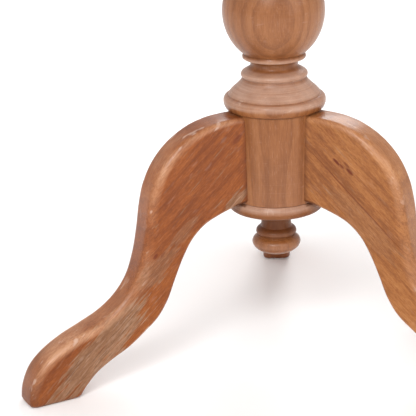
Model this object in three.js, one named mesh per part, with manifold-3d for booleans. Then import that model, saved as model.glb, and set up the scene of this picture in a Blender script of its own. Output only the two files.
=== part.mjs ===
// Tripod tilt-top table: a turned column on three S-shaped legs, with a round top that tips up on two
// wooden pins. Millimetres, +Z up, origin on the floor under the column. The two front legs point to
// -Y and the third to +Y.
import * as THREE from "three";
import { mergeVertices } from "three/addons/utils/BufferGeometryUtils.js";
import Module from "manifold-3d";

// Driving dimensions
const TABLE_HEIGHT = 730;
const TOP_RADIUS = 400;
const TOP_THICKNESS = 22;
const BOARD_COUNT = 5;
const GLUE_GAP = 0.3; // between faces that meet
const CUT_PAST = 1; // how far a cut runs past the faces that it opens
const LEG_THICKNESS = 35;
const LEG_ANGLES = { leg_front_left: 210, leg_front_right: 330, leg_back: 90 };
const LEG_TOP = 268;
const LEG_OUTER_EDGE = { size: 10, depth: 8 }; // edges of the top and front of the leg, well rounded
const LEG_INNER_EDGE = { size: 4, depth: 4 }; // edges of its underside
const LEG_ROOT = 36; // reach at which the plank starts, inside the hub, before the hub is cut from it
const LEG_ROOT_LOW = 174.4; // height of the plank's underside at the hub
const LEG_FLAT_END = 56; // reach at which the leg's level top ends
const HEEL_REACH = 242;
const TOE_REACH = 298;
const BELOW_FLOOR = 20; // how far the plank runs below the floor before it is cut level

// Column hub, which holds the legs, and the disc and finial below it
const HUB_BOTTOM = 172.4;
const HUB_TOP = 268.6;
const HUB_RADIUS_BOTTOM = 47.3;
const HUB_RADIUS_TOP = 48.7;
const DISC_BOTTOM = 158.4;
const SPIGOT_RADIUS = 11;
const SPIGOT_TOP = 215;
const DISC_SCREW_RADIUS = 29;
const DISC_SCREW_LENGTH = 32;
const SCREW_SUNK = 0.2; // how far a screw's head lies inside the face around it
const DISC_SCREW_FACE = DISC_BOTTOM + SCREW_SUNK;

// Ball of the column: an upright ellipse between two angles, measured up from its widest ring
const BALL = { height: 371, radius: 52.8, halfHeight: 55.5, from: -0.925, to: 0.6, points: 10 };

// Dovetails of the legs
const TONGUE_DEPTH = 17;
const TONGUE_ROOT_WIDTH = 13;
const TONGUE_END_WIDTH = 19;
const TONGUE_TOP = 250;
const TONGUE_OVERLAP = 2; // how far the tongue reaches back into its leg

// Pivot block on top of the column, with a rounded front edge round the pivot axis
const TOP_UNDERSIDE = TABLE_HEIGHT - TOP_THICKNESS;
const BLOCK_SIZE = 170;
const BLOCK_THICKNESS = 30;
const BLOCK_TOP = TOP_UNDERSIDE - GLUE_GAP;
const BLOCK_BOTTOM = BLOCK_TOP - BLOCK_THICKNESS;
const COLUMN_SHOULDER = BLOCK_BOTTOM - GLUE_GAP;
const PIVOT_Z = BLOCK_TOP - BLOCK_THICKNESS / 2;
const PIVOT_Y = -(BLOCK_SIZE / 2 - BLOCK_THICKNESS / 2);
const PIN_RADIUS = 9;
const PIN_IN_BLOCK = 40;
const TENON_RADIUS = 17;
const TENON_TOP = BLOCK_TOP - 0.2;
const TENON_ROOT = COLUMN_SHOULDER - 5; // the tenon starts inside the column, so that they join
const KERF_WIDTH = 3;
const KERF_BOTTOM = TENON_TOP - 24;
const WEDGE = { lowHalf: 0.4, highHalf: 1.2, width: 30 };
const MORTISE_DEPTH = 12;
const MORTISE_GAP = 1; // round the bolt in the block
const PIN_CHAMFER = 1.5;
const BEARER_HOLE_RADIUS = PIN_RADIUS + 0.5;

// Bearers under the top, one each side of the block
const BEARER_WIDTH = 22;
const BEARER_HEIGHT = 35;
const BEARER_LENGTH = 620;
const BEARER_END_HEIGHT = 14;
const BEARER_TAPER = 90;
const BEARER_SIDE_GAP = 0.5; // between the block and a bearer
const BEARER_INNER_X = BLOCK_SIZE / 2 + BEARER_SIDE_GAP;
const SCREW_PLACES_Y = [-268, -160, 0, 160, 268];
const BEARER_SCREW_LENGTH = 32;
const BEARER_SCREW_BITE = 15; // how far a bearer screw goes into the top
const BEARER_SCREW_HEAD = TOP_UNDERSIDE + BEARER_SCREW_BITE - BEARER_SCREW_LENGTH;

// Screws
const SCREW_HEAD_RADIUS = 4.2;
const SCREW_HEAD_HEIGHT = 2.8;
const SCREW_SHANK_RADIUS = 2;
const SCREW_RIM = 0.5; // the straight edge of a countersunk head
const SCREW_END_GAP = 1; // between a screw's point and the end of its hole

// Brass slide bolt under the top, and its strike plate on the back of the block
const CATCH_SETBACK = 3.8; // between the block and the catch
const CATCH_FRONT = BLOCK_SIZE / 2 + CATCH_SETBACK;
const CATCH_TOP = TOP_UNDERSIDE - GLUE_GAP;
const CATCH_LENGTH = 46;
const CATCH_FLANGE_WIDTH = 64;
const CATCH_FLANGE_THICKNESS = 2;
const CATCH_BOX_WIDTH = 26;
const CATCH_BOX_HEIGHT = 15;
const BOLT_WIDTH = 10;
const BOLT_THICKNESS = 6;
const BOLT_LENGTH = 44;
const BOLT_Z = 698;
const BOLT_TRAVEL = 10;
const BOLT_CLEARANCE = 0.4;
const BOLT_BEVEL = 4;
const BOLT_NOSE_TOP = BOLT_Z + 0.5;
const KNOB_STEM_RADIUS = 2.4;
const KNOB_Y = CATCH_FRONT + 31;
const KNOB_TOP = BOLT_Z + 1;
const KNOB_BOTTOM = CATCH_TOP - CATCH_BOX_HEIGHT - 12;
const STRIKE_WIDTH = 40;
const STRIKE_HEIGHT = 24;
const STRIKE_THICKNESS = 1.6;
const STRIKE_TOP = BLOCK_TOP - 1;
const STRIKE_FACE = BLOCK_SIZE / 2 + GLUE_GAP + STRIKE_THICKNESS;
const STRIKE_HOLE_GAP = 0.8; // round the bolt in the strike plate
const STRIKE_SCREW_X = [-14, 14];
const STRIKE_SCREW_Z = BOLT_Z - 3;
const CATCH_SCREW = { headRadius: 3, headHeight: 1.6, shankRadius: 1.5, length: 14 };
const CATCH_SCREW_SUNK = 0.1; // how far its head lies inside the plate's face
const CATCH_SCREW_FACE = CATCH_TOP - CATCH_FLANGE_THICKNESS + CATCH_SCREW_SUNK;
const CATCH_SCREW_X = CATCH_FLANGE_WIDTH / 2 - 8;
const CATCH_SCREW_INSET = 9;
const CATCH_SCREW_PLACES = [-CATCH_SCREW_X, CATCH_SCREW_X].flatMap((x) => [
  [x, CATCH_FRONT + CATCH_SCREW_INSET],
  [x, CATCH_FRONT + CATCH_LENGTH - CATCH_SCREW_INSET],
]);

const CURVE_STEPS = 2; // points on each spline span
const ARC_STEPS = 12; // points on each arc of an extruded outline
const TOP_SIDES = 96; // sides of the round top
const HUB_CUT_SIDES = 72; // sides of the hollow that the hub leaves in a leg
const ROUND_SIDES = 32; // sides of a turned piece
const BORE_SIDES = 24; // sides of a pin, a bore or the finial
const SMALL_SIDES = 12; // sides of a screw or a small hole

const wasm = await Module();
wasm.setup();

// Turns a closed geometry into a manifold-3d solid.
function solid(geometry) {
  const bare = geometry.index ? geometry.toNonIndexed() : geometry.clone();
  bare.deleteAttribute("normal");
  bare.deleteAttribute("uv");
  const merged = mergeVertices(bare, 1e-3);
  const mesh = new wasm.Mesh({
    numProp: 3,
    vertProperties: merged.attributes.position.array,
    triVerts: new Uint32Array(merged.index.array),
  });
  return new wasm.Manifold(mesh);
}

// Turns a manifold-3d solid back into a geometry.
function geometryOf(cut) {
  const mesh = cut.getMesh();
  const geometry = new THREE.BufferGeometry();
  const position = new Float32Array(mesh.vertProperties);
  geometry.setAttribute("position", new THREE.BufferAttribute(position, 3));
  geometry.setIndex(new THREE.BufferAttribute(new Uint32Array(mesh.triVerts), 1));
  geometry.computeVertexNormals();
  return geometry;
}

// A body turned about Z. The path holds (radius, height), from the lower end of the axis to the upper.
function turned(path, sides = ROUND_SIDES) {
  const points = path.getPoints(CURVE_STEPS);
  return new THREE.LatheGeometry(points, sides).rotateX(Math.PI / 2);
}

// A cylinder or cone along Z between two heights.
function rod(radius, from, to, sides = SMALL_SIDES, topRadius = radius) {
  const geometry = new THREE.CylinderGeometry(topRadius, radius, to - from, sides);
  return geometry.rotateX(Math.PI / 2).translate(0, 0, (from + to) / 2);
}

// A box between two corners.
function box(low, high) {
  const size = high.map((value, axis) => value - low[axis]);
  const centre = high.map((value, axis) => (value + low[axis]) / 2);
  return new THREE.BoxGeometry(...size).translate(...centre);
}

// An outline in the YZ plane, extruded along X between two places.
function extrudedAlongX(outline, from, to) {
  const geometry = new THREE.ExtrudeGeometry(outline, {
    depth: to - from,
    bevelEnabled: false,
    curveSegments: ARC_STEPS,
  });
  geometry.rotateY(Math.PI / 2).rotateX(Math.PI / 2);
  return geometry.translate(from, 0, 0);
}

const vectors = (pairs) => pairs.map(([x, y]) => new THREE.Vector2(x, y));

// --- Materials -----------------------------------------------------------------------------------
const wood = (colour) => new THREE.MeshStandardMaterial({ color: colour, roughness: 0.5, metalness: 0 });
const metal = (colour) => new THREE.MeshStandardMaterial({ color: colour, roughness: 0.35, metalness: 1 });
const PEDESTAL_WOOD = wood(0xab6b45);
const TOP_WOOD = wood(0xb0714a);
const BRASS = metal(0xb08d4a);
const STEEL = metal(0x8c8c8c);

const table = new THREE.Group();

// Adds a named mesh to the table.
function add(name, geometry, material, place = {}) {
  const mesh = new THREE.Mesh(geometry, material);
  mesh.name = name;
  mesh.position.set(...(place.position ?? [0, 0, 0]));
  mesh.rotation.set(...(place.rotation ?? [0, 0, 0]));
  table.add(mesh);
  return mesh;
}

// A countersunk screw along Z with its head at the lower end, its face at height 0.
function screw(length, size = {}) {
  const head = size.headRadius ?? SCREW_HEAD_RADIUS;
  const headHeight = size.headHeight ?? SCREW_HEAD_HEIGHT;
  const shank = size.shankRadius ?? SCREW_SHANK_RADIUS;
  const path = new THREE.Path(vectors([[0, 0], [head, 0], [head, SCREW_RIM], [shank, headHeight]]));
  path.lineTo(shank, length - 2 * shank);
  path.lineTo(0, length);
  return turned(path, SMALL_SIDES);
}

// The hole a screw leaves: the screw's own shape with the gap all round, and the head's way in below.
function screwHole(length, size = {}, headWay = CUT_PAST) {
  const head = (size.headRadius ?? SCREW_HEAD_RADIUS) + GLUE_GAP;
  const headHeight = size.headHeight ?? SCREW_HEAD_HEIGHT;
  const shank = (size.shankRadius ?? SCREW_SHANK_RADIUS) + GLUE_GAP;
  const way = [[0, -headWay], [head, -headWay], [head, SCREW_RIM + GLUE_GAP]];
  const bore = [[shank, headHeight + GLUE_GAP], [shank, length], [0, length + GLUE_GAP]];
  const path = new THREE.Path(vectors([...way, ...bore]));
  return turned(path, SMALL_SIDES);
}

// --- Column --------------------------------------------------------------------------------------
function ballPoints() {
  const points = [];
  for (let step = 0; step <= BALL.points; step += 1) {
    const angle = BALL.from + ((BALL.to - BALL.from) * step) / BALL.points;
    const radius = BALL.radius * Math.cos(angle);
    points.push(new THREE.Vector2(radius, BALL.height + BALL.halfHeight * Math.sin(angle)));
  }
  return points;
}

// The outside of the column from the hub up to the shoulder under the block, as (radius, height).
function columnPath() {
  const path = new THREE.Path();
  path.moveTo(0, HUB_BOTTOM);
  path.lineTo(HUB_RADIUS_BOTTOM, HUB_BOTTOM);
  path.lineTo(HUB_RADIUS_TOP, HUB_TOP);
  // collar: a fat bead, then a bell that rises to a small ring
  path.splineThru(vectors([[51.8, 270.6], [53.5, 276], [52.6, 280.4], [49.4, 282.9]]));
  path.lineTo(47.2, 283.2);
  path.lineTo(47.8, 285);
  path.splineThru(vectors([[44.2, 288.8], [39.6, 293], [35.4, 297.4], [33.8, 300.6]]));
  path.lineTo(33.3, 301.4);
  path.splineThru(vectors([[34.9, 304.2], [33.6, 307.2], [28.6, 310.2]]));
  // cove and upper ring
  path.splineThru(vectors([[25.2, 313], [24.8, 317], [26.4, 320.6]]));
  path.splineThru(vectors([[32, 321.4], [33.1, 323.8], [31.6, 326.8]]));
  // ball, drawn up into a long tapered vase
  const [foot, ...ball] = ballPoints();
  path.lineTo(foot.x, foot.y);
  path.splineThru([...ball, ...vectors([[37.4, 423], [31.4, 446], [26.2, 480], [23, 518], [22, 553]])]);
  // neck ring, cove and the flared head
  path.splineThru(vectors([[29, 555.4], [30.6, 560], [29, 564.6], [23, 567]]));
  path.splineThru(vectors([[20.6, 576], [22.4, 592], [27, 610], [30.8, 630], [31, 646]]));
  path.lineTo(35, 648);
  path.splineThru(vectors([[37.4, 653], [36.4, 658.4], [33.4, 661]]));
  path.lineTo(33.4, 663);
  path.splineThru(vectors([[36, 668], [42, COLUMN_SHOULDER]]));
  path.lineTo(0, COLUMN_SHOULDER);
  return path;
}

// The dovetail seen from above, its root at the hub's surface, grown by a gap on every side.
function dovetailOutline(gap) {
  const root = HUB_RADIUS_TOP + TONGUE_OVERLAP;
  const end = HUB_RADIUS_BOTTOM - TONGUE_DEPTH - gap;
  const rootHalf = TONGUE_ROOT_WIDTH / 2 + gap;
  const endHalf = TONGUE_END_WIDTH / 2 + gap;
  return new THREE.Shape(vectors([[end, -endHalf], [root, -rootHalf], [root, rootHalf], [end, endHalf]]));
}

// The dovetail as a prism between two heights.
function dovetail(gap, from, to) {
  const prism = new THREE.ExtrudeGeometry(dovetailOutline(gap), { depth: to - from, bevelEnabled: false });
  return prism.translate(0, 0, from);
}

function makeColumn() {
  let column = solid(turned(columnPath()));
  column = column.add(solid(rod(TENON_RADIUS, TENON_ROOT, TENON_TOP, BORE_SIDES)));
  const kerf = [KERF_WIDTH / 2, TENON_RADIUS + CUT_PAST, TENON_TOP + CUT_PAST];
  column = column.subtract(solid(box([-kerf[0], -kerf[1], KERF_BOTTOM], kerf)));
  for (const degrees of Object.values(LEG_ANGLES)) {
    const socket = dovetail(GLUE_GAP, HUB_BOTTOM - CUT_PAST, TONGUE_TOP + GLUE_GAP);
    column = column.subtract(solid(socket.rotateZ(THREE.MathUtils.degToRad(degrees))));
  }
  const bore = rod(SPIGOT_RADIUS + GLUE_GAP, HUB_BOTTOM - CUT_PAST, SPIGOT_TOP + GLUE_GAP, BORE_SIDES);
  column = column.subtract(solid(bore));
  for (const [x, y] of discScrewPlaces()) {
    column = column.subtract(solid(screwHole(DISC_SCREW_LENGTH).translate(x, y, DISC_SCREW_FACE)));
  }
  return geometryOf(column);
}

// --- Legs ----------------------------------------------------------------------------------------
// The top and front of a leg seen from the side, as (reach, height), from inside the hub down to
// below the floor.
function legFront() {
  const outline = new THREE.Shape();
  outline.moveTo(LEG_ROOT, LEG_TOP);
  outline.lineTo(LEG_FLAT_END, LEG_TOP);
  const knee = [[76, 266.4], [98, 260.4], [120, 248.4], [138, 231], [150, 209.6], [156, 188]];
  const shin = [[160.4, 162], [166, 137], [175, 113.4], [189, 95], [208, 81], [230, 71.4]];
  const toe = [[252, 62.6], [272, 51.2], [287, 37], [295.6, 18], [TOE_REACH, 0]];
  outline.splineThru(vectors([...knee, ...shin, ...toe]));
  outline.lineTo(TOE_REACH, -BELOW_FLOOR);
  return outline;
}

// The whole side view of a leg: the front, then back from the heel along the underside.
function legOutline() {
  const outline = legFront();
  outline.lineTo(HEEL_REACH, -BELOW_FLOOR);
  outline.lineTo(HEEL_REACH, 0);
  const foot = [[234, 11], [222, 23.4], [206, 33.4], [186, 43.2], [168, 55.6], [151.5, 68.8]];
  const calf = [[139.4, 86], [130.4, 106.6], [120.4, 128], [109, 146.2], [94, 159.4], [76, 167.2]];
  outline.splineThru(vectors([...foot, ...calf, [58, 172.4], [48, LEG_ROOT_LOW]]));
  outline.lineTo(LEG_ROOT, LEG_ROOT_LOW);
  return outline;
}

// A plank of that outline with its edges rounded over: size across the face, depth down the side.
function roundedPlank(outline, edge) {
  const blank = new THREE.ExtrudeGeometry(outline, {
    depth: LEG_THICKNESS - 2 * edge.depth,
    bevelThickness: edge.depth,
    bevelSize: edge.size,
    bevelOffset: -edge.size,
    bevelSegments: 2,
    curveSegments: CURVE_STEPS,
  });
  return solid(blank.translate(0, 0, edge.depth - LEG_THICKNESS / 2).rotateX(Math.PI / 2));
}

function makeLeg() {
  const front = legFront();
  front.lineTo(LEG_ROOT, -BELOW_FLOOR);
  let leg = roundedPlank(legOutline(), LEG_INNER_EDGE).intersect(roundedPlank(front, LEG_OUTER_EDGE));
  const hubRadii = [HUB_RADIUS_BOTTOM + GLUE_GAP, HUB_RADIUS_TOP + GLUE_GAP];
  const hub = rod(hubRadii[0], HUB_BOTTOM - CUT_PAST, HUB_TOP + CUT_PAST, HUB_CUT_SIDES, hubRadii[1]);
  leg = leg.subtract(solid(hub));
  const waste = [TOE_REACH + BELOW_FLOOR, LEG_THICKNESS, 0];
  leg = leg.subtract(solid(box([0, -LEG_THICKNESS, -2 * BELOW_FLOOR], waste)));
  const tongue = solid(dovetail(0, HUB_BOTTOM + GLUE_GAP, TONGUE_TOP));
  return geometryOf(leg.add(tongue));
}

// --- Disc and finial under the hub ---------------------------------------------------------------
// The disc's three screws stand between the legs.
function discScrewPlaces() {
  const places = Object.values(LEG_ANGLES).map((degrees) => THREE.MathUtils.degToRad(degrees + 60));
  return places.map((angle) => [DISC_SCREW_RADIUS * Math.cos(angle), DISC_SCREW_RADIUS * Math.sin(angle)]);
}

function makeDisc() {
  const top = HUB_BOTTOM - GLUE_GAP;
  const path = new THREE.Path(vectors([[0, DISC_BOTTOM], [46.4, DISC_BOTTOM]]));
  path.splineThru(vectors([[49.6, 160.2], [50.7, 164], [50, 168.4], [47.4, top]]));
  path.lineTo(0, top);
  let disc = solid(turned(path));
  const bore = rod(SPIGOT_RADIUS + GLUE_GAP, DISC_BOTTOM - CUT_PAST, top + CUT_PAST, BORE_SIDES);
  disc = disc.subtract(solid(bore));
  for (const [x, y] of discScrewPlaces()) {
    disc = disc.subtract(solid(screwHole(DISC_SCREW_LENGTH).translate(x, y, DISC_SCREW_FACE)));
  }
  return geometryOf(disc);
}

function makeFinial() {
  const neckTop = DISC_BOTTOM - GLUE_GAP;
  const path = new THREE.Path();
  path.moveTo(0, 105.8);
  const bulb = [[8, 106.3], [16.4, 108.7], [23, 112.9], [25.9, 118.2], [24.6, 122.7], [21.2, 125.4]];
  path.splineThru(vectors(bulb));
  path.lineTo(20, 126.6);
  path.splineThru(vectors([[21.6, 130], [20.9, 133.4], [16.8, 136.8]]));
  path.splineThru(vectors([[15.6, 143], [16, 151], [17.6, neckTop]]));
  path.lineTo(SPIGOT_RADIUS, neckTop);
  path.lineTo(SPIGOT_RADIUS, SPIGOT_TOP);
  path.lineTo(0, SPIGOT_TOP);
  return turned(path, BORE_SIDES);
}

// --- Pivot block, wedge and pins -----------------------------------------------------------------
function makeBlock() {
  const half = BLOCK_SIZE / 2;
  const radius = BLOCK_THICKNESS / 2;
  const outline = new THREE.Shape();
  outline.moveTo(half, BLOCK_BOTTOM);
  outline.lineTo(half, BLOCK_TOP);
  outline.lineTo(PIVOT_Y, BLOCK_TOP);
  outline.absarc(PIVOT_Y, PIVOT_Z, radius, Math.PI / 2, (3 * Math.PI) / 2, false);
  let block = solid(extrudedAlongX(outline, -half, half));
  const socket = rod(TENON_RADIUS + GLUE_GAP, BLOCK_BOTTOM - CUT_PAST, BLOCK_TOP + CUT_PAST, BORE_SIDES);
  block = block.subtract(solid(socket));
  for (const side of [-1, 1]) {
    const blindEnd = half - PIN_IN_BLOCK - GLUE_GAP;
    const hole = rod(PIN_RADIUS + GLUE_GAP, blindEnd, half + CUT_PAST, BORE_SIDES);
    hole.rotateY((side * Math.PI) / 2).translate(0, PIVOT_Y, PIVOT_Z);
    block = block.subtract(solid(hole));
  }
  const mortiseHalf = [BOLT_WIDTH / 2 + MORTISE_GAP, BOLT_THICKNESS / 2 + MORTISE_GAP];
  const mortiseLow = [-mortiseHalf[0], half - MORTISE_DEPTH, BOLT_Z - mortiseHalf[1]];
  const mortiseHigh = [mortiseHalf[0], half + CUT_PAST, BOLT_Z + mortiseHalf[1]];
  block = block.subtract(solid(box(mortiseLow, mortiseHigh)));
  for (const x of STRIKE_SCREW_X) {
    block = block.subtract(solid(strikeScrewHole(x)));
  }
  return geometryOf(block);
}

function makeWedge() {
  const { lowHalf, highHalf, width } = WEDGE;
  const low = KERF_BOTTOM + GLUE_GAP;
  const sides = [[-lowHalf, low], [lowHalf, low], [highHalf, TENON_TOP], [-highHalf, TENON_TOP]];
  const outline = new THREE.Shape(vectors(sides));
  const wedge = new THREE.ExtrudeGeometry(outline, { depth: width, bevelEnabled: false });
  return wedge.rotateX(Math.PI / 2).translate(0, width / 2, 0);
}

// A pivot pin from its blind end in the block out through the bearer, with a small chamfer outside.
function makePin(side) {
  const inner = BLOCK_SIZE / 2 - PIN_IN_BLOCK;
  const outer = BEARER_INNER_X + BEARER_WIDTH;
  const path = new THREE.Path(vectors([[0, inner], [PIN_RADIUS, inner], [PIN_RADIUS, outer - PIN_CHAMFER]]));
  path.lineTo(PIN_RADIUS - PIN_CHAMFER, outer);
  path.lineTo(0, outer);
  return turned(path, BORE_SIDES).rotateY((side * Math.PI) / 2).translate(0, PIVOT_Y, PIVOT_Z);
}

// --- Top and bearers -----------------------------------------------------------------------------
// The whole top as one turned disc with a rounded thumb moulding, before it is cut into boards. The
// moulding's points are (distance in from the rim, height above the underside).
function topBlank() {
  const edge = ([inset, rise]) => new THREE.Vector2(TOP_RADIUS - inset, TOP_UNDERSIDE + rise);
  const path = new THREE.Path([new THREE.Vector2(0, TOP_UNDERSIDE), edge([12, 0])]);
  path.splineThru([[4, 4], [0, 11]].map(edge));
  path.splineThru([[1.6, 15], [6, 17.4]].map(edge));
  for (const point of [[8, TOP_THICKNESS - 2], [9, TOP_THICKNESS], [TOP_RADIUS, TOP_THICKNESS]].map(edge)) {
    path.lineTo(point.x, point.y);
  }
  return solid(turned(path, TOP_SIDES));
}

// Height of the bearer's lower face at a place along it.
function bearerLowerFace(y) {
  const fromEnd = BEARER_LENGTH / 2 - Math.abs(y);
  const share = Math.min(1, fromEnd / BEARER_TAPER);
  return TOP_UNDERSIDE - GLUE_GAP - BEARER_END_HEIGHT - share * (BEARER_HEIGHT - BEARER_END_HEIGHT);
}

function bearerX(side) {
  return side * (BEARER_INNER_X + BEARER_WIDTH / 2);
}

function makeBearer(side) {
  const half = BEARER_LENGTH / 2;
  const high = TOP_UNDERSIDE - GLUE_GAP;
  const outline = new THREE.Shape(vectors([[-half, high], [-half, high - BEARER_END_HEIGHT]]));
  outline.lineTo(BEARER_TAPER - half, high - BEARER_HEIGHT);
  outline.lineTo(half - BEARER_TAPER, high - BEARER_HEIGHT);
  outline.lineTo(half, high - BEARER_END_HEIGHT);
  outline.lineTo(half, high);
  const from = side > 0 ? BEARER_INNER_X : -BEARER_INNER_X - BEARER_WIDTH;
  let bearer = solid(extrudedAlongX(outline, from, from + BEARER_WIDTH));
  const holeEnds = [BEARER_INNER_X - CUT_PAST, BEARER_INNER_X + BEARER_WIDTH + CUT_PAST];
  const hole = rod(BEARER_HOLE_RADIUS, ...holeEnds, ROUND_SIDES);
  hole.rotateY((side * Math.PI) / 2).translate(0, PIVOT_Y, PIVOT_Z);
  bearer = bearer.subtract(solid(hole));
  // the heads lie deep in counterbores, so that the points stay inside the top
  for (const y of SCREW_PLACES_Y) {
    const way = BEARER_SCREW_HEAD - bearerLowerFace(y) + CUT_PAST;
    const cut = screwHole(BEARER_SCREW_LENGTH, {}, way).translate(bearerX(side), y, BEARER_SCREW_HEAD);
    bearer = bearer.subtract(solid(cut));
  }
  return geometryOf(bearer);
}

function makeBoard(blank, index) {
  const width = (2 * TOP_RADIUS) / BOARD_COUNT;
  const low = -TOP_RADIUS + index * width;
  const from = low + (index > 0 ? GLUE_GAP / 2 : -CUT_PAST);
  const to = low + width - (index < BOARD_COUNT - 1 ? GLUE_GAP / 2 : -CUT_PAST);
  const reach = TOP_RADIUS + CUT_PAST;
  const slab = box([-reach, from, TOP_UNDERSIDE - CUT_PAST], [reach, to, TABLE_HEIGHT + CUT_PAST]);
  let board = blank.intersect(solid(slab));
  for (const side of [-1, 1]) {
    for (const y of SCREW_PLACES_Y.filter((place) => place > from && place < to)) {
      const hole = screwHole(BEARER_SCREW_LENGTH).translate(bearerX(side), y, BEARER_SCREW_HEAD);
      board = board.subtract(solid(hole));
    }
  }
  for (const [x, y] of CATCH_SCREW_PLACES.filter(([, place]) => place > from && place < to)) {
    board = board.subtract(solid(catchScrewHole(x, y)));
  }
  return geometryOf(board);
}

// --- Catch ---------------------------------------------------------------------------------------
const catchScrewHole = (x, y) =>
  screwHole(CATCH_SCREW.length, CATCH_SCREW).translate(x, y, CATCH_SCREW_FACE);

// A strike screw's shape turned to point into the block, along -Y.
function intoBlock(geometry, x) {
  return geometry.rotateX(Math.PI / 2).translate(x, STRIKE_FACE - CATCH_SCREW_SUNK, STRIKE_SCREW_Z);
}
const strikeScrewHole = (x) => intoBlock(screwHole(CATCH_SCREW.length, CATCH_SCREW), x);

function makeCatchCase() {
  const flangeHalf = CATCH_FLANGE_WIDTH / 2;
  const boxHalf = CATCH_BOX_WIDTH / 2;
  const back = CATCH_FRONT + CATCH_LENGTH;
  const flangeLow = CATCH_TOP - CATCH_FLANGE_THICKNESS;
  let body = solid(box([-flangeHalf, CATCH_FRONT, flangeLow], [flangeHalf, back, CATCH_TOP]));
  const low = CATCH_TOP - CATCH_BOX_HEIGHT;
  body = body.add(solid(box([-boxHalf, CATCH_FRONT, low], [boxHalf, back, flangeLow + CUT_PAST])));
  const channelHalf = BOLT_WIDTH / 2 + BOLT_CLEARANCE;
  const channelLow = BOLT_Z - BOLT_THICKNESS / 2 - BOLT_CLEARANCE;
  const channelHigh = BOLT_Z + BOLT_THICKNESS / 2 + BOLT_CLEARANCE;
  const channelEnds = [CATCH_FRONT - CUT_PAST, back + CUT_PAST];
  const channelBox = [[-channelHalf, channelEnds[0], channelLow], [channelHalf, channelEnds[1], channelHigh]];
  body = body.subtract(solid(box(...channelBox)));
  const slotHalf = KNOB_STEM_RADIUS + BOLT_CLEARANCE;
  const slotFrom = KNOB_Y - BOLT_TRAVEL - slotHalf;
  const slotHigh = [slotHalf, KNOB_Y + slotHalf, channelLow + CUT_PAST];
  body = body.subtract(solid(box([-slotHalf, slotFrom, low - CUT_PAST], slotHigh)));
  for (const [x, y] of CATCH_SCREW_PLACES) {
    body = body.subtract(solid(catchScrewHole(x, y)));
  }
  return geometryOf(body);
}

// The bolt bar, drawn back, with a bevelled nose towards the block and a tapped hole for the knob.
function makeBolt() {
  const nose = CATCH_FRONT + BOLT_CLEARANCE;
  const half = BOLT_THICKNESS / 2;
  const tail = nose + BOLT_LENGTH;
  const outline = new THREE.Shape(vectors([[tail, BOLT_Z - half], [tail, BOLT_Z + half]]));
  outline.lineTo(nose + BOLT_BEVEL, BOLT_Z + half);
  outline.lineTo(nose, BOLT_NOSE_TOP);
  outline.lineTo(nose, BOLT_Z - half);
  const bar = solid(extrudedAlongX(outline, -BOLT_WIDTH / 2, BOLT_WIDTH / 2));
  const hole = rod(KNOB_STEM_RADIUS + GLUE_GAP, BOLT_Z - half - CUT_PAST, KNOB_TOP + GLUE_GAP);
  return geometryOf(bar.subtract(solid(hole.translate(0, KNOB_Y, 0))));
}

function makeKnob() {
  const low = KNOB_BOTTOM;
  const path = new THREE.Path();
  path.moveTo(0, low);
  path.splineThru(vectors([[4, low + 0.6], [6.4, low + 3.4], [6, low + 6.4], [3.4, low + 8.6]]));
  path.lineTo(KNOB_STEM_RADIUS, low + 10);
  path.lineTo(KNOB_STEM_RADIUS, KNOB_TOP);
  path.lineTo(0, KNOB_TOP);
  return turned(path, SMALL_SIDES).translate(0, KNOB_Y, 0);
}

function makeStrike() {
  const back = STRIKE_FACE - STRIKE_THICKNESS;
  const low = [-STRIKE_WIDTH / 2, back, STRIKE_TOP - STRIKE_HEIGHT];
  let plate = solid(box(low, [STRIKE_WIDTH / 2, STRIKE_FACE, STRIKE_TOP]));
  const halfWidth = BOLT_WIDTH / 2 + STRIKE_HOLE_GAP;
  const halfHeight = BOLT_THICKNESS / 2 + STRIKE_HOLE_GAP;
  const holeLow = [-halfWidth, back - CUT_PAST, BOLT_Z - halfHeight];
  const holeHigh = [halfWidth, STRIKE_FACE + CUT_PAST, BOLT_Z + halfHeight];
  plate = plate.subtract(solid(box(holeLow, holeHigh)));
  for (const x of STRIKE_SCREW_X) {
    plate = plate.subtract(solid(strikeScrewHole(x)));
  }
  return geometryOf(plate);
}

// --- Assembly ------------------------------------------------------------------------------------
add("column", makeColumn(), PEDESTAL_WOOD);
const legGeometry = makeLeg();
for (const [name, degrees] of Object.entries(LEG_ANGLES)) {
  add(name, legGeometry, PEDESTAL_WOOD, { rotation: [0, 0, THREE.MathUtils.degToRad(degrees)] });
}
add("base_disc", makeDisc(), PEDESTAL_WOOD);
add("finial", makeFinial(), PEDESTAL_WOOD);
discScrewPlaces().forEach(([x, y], index) => {
  const position = [x, y, DISC_SCREW_FACE];
  add(`disc_screw_${index + 1}`, screw(DISC_SCREW_LENGTH - SCREW_END_GAP), STEEL, { position });
});

add("pivot_block", makeBlock(), PEDESTAL_WOOD);
add("tenon_wedge", makeWedge(), PEDESTAL_WOOD);
add("pivot_pin_left", makePin(-1), PEDESTAL_WOOD);
add("pivot_pin_right", makePin(1), PEDESTAL_WOOD);
add("strike_plate", makeStrike(), BRASS);
const smallScrew = () => screw(CATCH_SCREW.length - SCREW_END_GAP, CATCH_SCREW);
STRIKE_SCREW_X.forEach((x, index) => {
  add(`strike_screw_${index + 1}`, intoBlock(smallScrew(), x), BRASS);
});

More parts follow.
